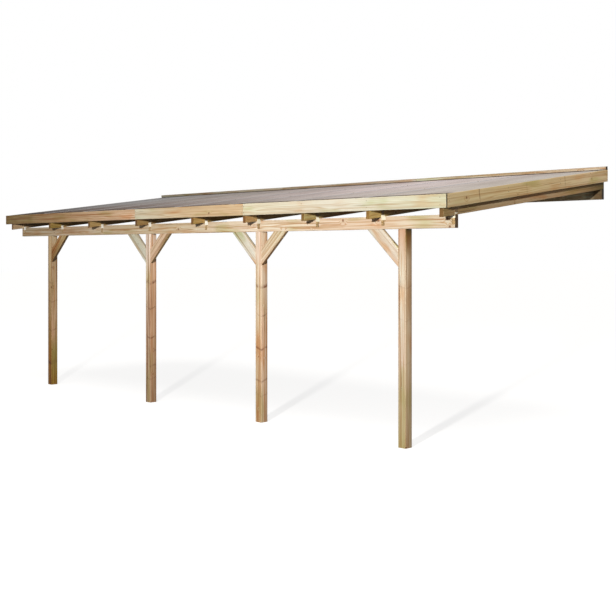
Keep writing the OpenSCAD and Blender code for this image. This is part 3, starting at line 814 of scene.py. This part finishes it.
# A dark rubber strip in a rebate under the batten's front edge seals it against the sheets and also draws the
# shadow line there: partly painted shade
sealSizes = {"height": 9 * mm, "depth": 12 * mm, "back": 1.5 * mm, "arris": 1 * mm, "spare": 10 * mm}
battenScrews, seals = [], []
for name, board in battenBoards.items():
    low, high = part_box(name)
    batten = addSlopingBoard(name, roofPlan["sheetTop"], roofPlan["battenTop"], 0, roofPlan["edge"])
    front = upSlope(low.y, roofPlan["battenTop"])
    bottom, spare = roofPlan["sheetTop"], sealSizes["spare"]
    inside = (high.x + spare, front + sealSizes["depth"], bottom + sealSizes["height"])
    rebate = addBlock((low.x - spare, front - spare, bottom - spare), inside)
    setOnSlope(rebate)
    carve(batten, rebate)
    seal = addBlock((low.x, front + sealSizes["back"], bottom), (high.x, inside[1], inside[2]))
    setOnSlope(seal)
    breakSharpEdges(seal, sealSizes["arris"])
    seals.append(seal)
    middle = (front + upSlope(high.y, bottom)) / 2
    overRafters = [onSlope(x, middle, roofPlan["battenTop"]) for x in rafterMiddles if low.x < x < high.x]
    battenScrews.append(sinkScrews(batten, [(spot, slopeUp) for spot in overRafters]))
    finishBoard(batten, name, high.x - low.x, (180 + roofPlan["slope"], 0, 0),
                battenGrain | board)
finishPiece(joinAll(battenScrews), "wall_batten_screws", finishes["zinc"])
finishPiece(joinAll(seals), "wall_batten_seal_and_shade_line", finishes["rubber"])
print("edge boards and batten made")


# Multiwall polycarbonate, extruded and tinted: smooth, with fine ribs inside and a soft sheen
# the sheets' tones run lighter towards the right: partly their own tint, partly painted light
sheetLook = {"tones": [(0.0, "#acacac"), (0.35, "#c0b4ac"), (0.75, "#fcece8"), (1.0, "#d8d0c4")],
             "frontShadeTones": [(0.0, "#302018"), (0.2, "#645044"), (0.5, "#988c84"), (0.9, "#d4cac0")],
             "frontShadeDepth": 1.7,  # painted shade over this much of the roof behind the fascia, darkest at the left
             "lowerEdgeTone": [(0.5, "#584a3c"), (1.0, "#ffffff")],  # along the lower edge
             "lowerEdgeDepth": 0.2,
             "rib": 32 * mm,  # the real ribs are 16 mm apart, drawn twice as far so that they show
             "plainWave": 0.314,  # metres from band to band in a wave texture at scale 1
             "ribRelief": 0.2 * mm,
             "ribTint": "#d8d3d6", "dust": "#c4b9b0", "roughness": (0.75, 0.9), "ior": 1.58, "gloss": 0.05}


def makeSheetMaterial():
    material, tree, shader, places = startMaterial("tinted multiwall polycarbonate")
    axes = addNode(tree, "SeparateXYZ", {0: places.outputs["Object"]})
    share = addNode(tree, "MapRange", {"Value": axes.outputs["X"], "From Min": roofLow.x,
                    "From Max": roofHigh.x})
    tone = addNode(tree, "ValToRGB", {0: share})
    fillRamp(tone, sheetLook["tones"])
    # painted shade over the front of the roof, darkest at the left
    frontShadeTone = addNode(tree, "ValToRGB", {0: share})
    fillRamp(frontShadeTone, sheetLook["frontShadeTones"])
    front = addNode(tree, "MapRange", {"Value": axes.outputs["Y"], "From Min": roofLow.y,
                    "From Max": roofLow.y + sheetLook["frontShadeDepth"], "To Min": 1.0, "To Max": 0.0})
    bothTones = addNode(tree, "Mix", {0: front, 6: tone, 7: frontShadeTone}, data_type="RGBA").outputs[2]
    ribs = addNode(tree, "TexWave", {"Vector": places.outputs["Object"],
                   "Scale": sheetLook["plainWave"] / sheetLook["rib"]},
                   bands_direction="X", wave_profile="SIN")
    ribLine = addNode(tree, "MapRange", {"Value": ribs.outputs["Fac"], "From Min": 0.75},
                      interpolation_type="SMOOTHSTEP")
    ribbed = addNode(tree, "Mix", {0: ribLine, 6: bothTones, 7: linear(sheetLook["ribTint"])},
                     data_type="RGBA", blend_type="MULTIPLY")
    dustMap = addNode(tree, "Mapping", {"Vector": places.outputs["Object"], "Scale": (1.2, 0.5, 1)})
    dust = addNode(tree, "TexNoise", {"Vector": dustMap, "Scale": 2.0, "Detail": 4.0})
    dustShare = addNode(tree, "MapRange", {"Value": dust, "From Min": 0.4, "From Max": 0.75, "To Max": 0.5})
    dusty = addNode(tree, "Mix", {0: dustShare, 6: ribbed.outputs[2], 7: linear(sheetLook["dust"])},
                    data_type="RGBA", blend_type="MULTIPLY")
    # darker along the lower edge
    edgeShare = addNode(tree, "MapRange", {"Value": axes.outputs["Y"], "From Min": roofLow.y,
                        "From Max": roofLow.y + sheetLook["lowerEdgeDepth"]})
    lowerEdgeTone = addNode(tree, "ValToRGB", {0: edgeShare})
    fillRamp(lowerEdgeTone, sheetLook["lowerEdgeTone"])
    edgeToned = addNode(tree, "Mix", {0: 1.0, 6: dusty.outputs[2], 7: lowerEdgeTone}, data_type="RGBA",
                    blend_type="MULTIPLY")
    setSurface(tree, shader, sheetLook, edgeToned.outputs[2], dust, 0.3, 0.7)
    bump = addNode(tree, "Bump", {"Height": ribs.outputs["Fac"], "Distance": sheetLook["ribRelief"],
                   "Strength": 0.3})
    tree.links.new(bump.outputs[0], shader.inputs["Normal"])
    return material


sheetMaterial = makeSheetMaterial()
for number in range(1, sheetCount + 1):
    name = f"roof_sheet_{number}"
    sheet = addSlopingBoard(name, roofPlan["purlinTop"], roofPlan["sheetTop"], 1, roofPlan["arris"])
    finishPiece(sheet, name + "_panel", sheetMaterial, [name])

# A screw with a washer holds each strip down at each purlin, but for the one under the batten
stripPlan = {"thick": 2 * mm, "bolt": {"head": 5 * mm, "headHeight": 4 * mm, "washer": 9 * mm,
             "washerHeight": 1.2 * mm, "shank": 2.5 * mm, "shankLength": 18 * mm}}
stripModel = makeBolt(**stripPlan["bolt"])
stripSpots = []
for number in range(1, sheetCount):
    x = (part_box(f"roof_sheet_{number}")[1].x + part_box(f"roof_sheet_{number + 1}")[0].x) / 2
    for purlin in range(1, purlinCount):
        low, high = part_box(f"purlin_{purlin}")
        middle = (upSlope(low.y, roofPlan["purlinTop"]) + upSlope(high.y, roofPlan["rafterTop"])) / 2
        stripSpots.append((onSlope(x, middle, roofPlan["sheetTop"] + stripPlan["thick"]), slopeUp))
stripScrews = placeCopies(stripModel, stripSpots)
bpy.data.objects.remove(stripModel)
finishPiece(stripScrews, "strip_screws", finishes["zinc"])
strips = frame["nodes"]["sheet_strips"]
strips.data.materials.clear()
strips.data.materials.append(finishes["teeStrip"])
print("roof sheets and strips made")


# A folded anchor ties each rafter to the beam: a flange on each, nailed, and a wide nose
anchorSizes = {"width": 42 * mm, "nose": 60 * mm, "noseBottom": -50 * mm, "leg": -95 * mm, "arm": 60 * mm,
               "rise": 12 * mm, "thick": 2 * mm, "corner": 4 * mm, "endCorner": 0.5 * mm,
               "arris": 0.4 * mm, "nail": 5 * mm, "nailHeight": 1.8 * mm,
               # across and up from the rafter's lower corner, in mm
               "nails": ((12, -62), (12, -86), (35, -45), (35, -56), (35, -67), (35, -78), (35, -89))}


def makeAnchor(way):  # way is 1 where the beam goes on to the right, and -1 at its right end
    width, thick = anchorSizes["width"], anchorSizes["thick"]
    bottom, slant = anchorSizes["noseBottom"], anchorSizes["nose"] - width
    top = anchorSizes["rise"] * way
    start = 0 if way > 0 else thick
    flange = addBlock((start, -thick, anchorSizes["leg"]), (start + way * width, 0, top))
    startEditing(flange, "FACE")
    bpy.ops.mesh.select_all(action="SELECT")
    bpy.ops.mesh.bisect(plane_co=(0, 0, bottom), plane_no=(0, 0, 1))
    bpy.ops.mesh.select_all(action="DESELECT")
    stopEditing()
    for face in flange.data.polygons:
        face.select = face.normal.x * way > 0.9 and face.center.z > bottom
    bpy.ops.object.mode_set(mode="EDIT")
    bpy.ops.mesh.extrude_region_move(TRANSFORM_OT_translate={"value": (way * slant, 0, 0)})
    height = top - bottom
    bpy.ops.transform.resize(value=(1, 1, (height - 2 * slant) / height))
    stopEditing()
    roundLongEdges(flange, 1, anchorSizes["corner"] if way > 0 else anchorSizes["endCorner"])
    plate = addBlock((0, -thick, 0), (thick, width - thick, anchorSizes["arm"]))
    cutAway(plate, (0, 0, 0), (0, anchorSizes["rise"], thick - width))
    carve(flange, plate, "UNION")
    breakSharpEdges(flange, anchorSizes["arris"])
    return flange


def makeNail():  # a domed head on z = 0
    bpy.ops.mesh.primitive_uv_sphere_add(segments=12, ring_count=8, radius=anchorSizes["nail"],
                                         scale=(1, 1, anchorSizes["nailHeight"] / anchorSizes["nail"]))
    nail = bpy.context.object
    applyPlace(nail)
    cutAway(nail, (0, 0, 0), (0, 0, -1))
    return nail


anchors, nailSpots = [], []
leftModel, rightModel, nailModel = makeAnchor(1), makeAnchor(-1), makeNail()
rafterCount = len(rafterTones)
for number in range(1, rafterCount + 1):
    corner = Vector((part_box(f"rafter_{number}")[1].x, beamLow.y, beamTop))
    atEnd = number == rafterCount
    anchors.append(placeCopies(rightModel if atEnd else leftModel, [(corner, None)]))
    for across, height in anchorSizes["nails"]:
        if atEnd:
            across = anchorSizes["thick"] / mm - across
        nailSpots.append((corner + Vector((across * mm, -anchorSizes["thick"], height * mm)), (0, -1, 0)))
finishPiece(joinAll(anchors), "rafter_anchors_steel", finishes["anchorLightAndShade"], ["rafter_anchors"])
finishPiece(placeCopies(nailModel, nailSpots), "anchor_nails", finishes["phosphated"])
for model in (leftModel, rightModel, nailModel, screwModel):
    bpy.data.objects.remove(model)
print("anchors and nails made")
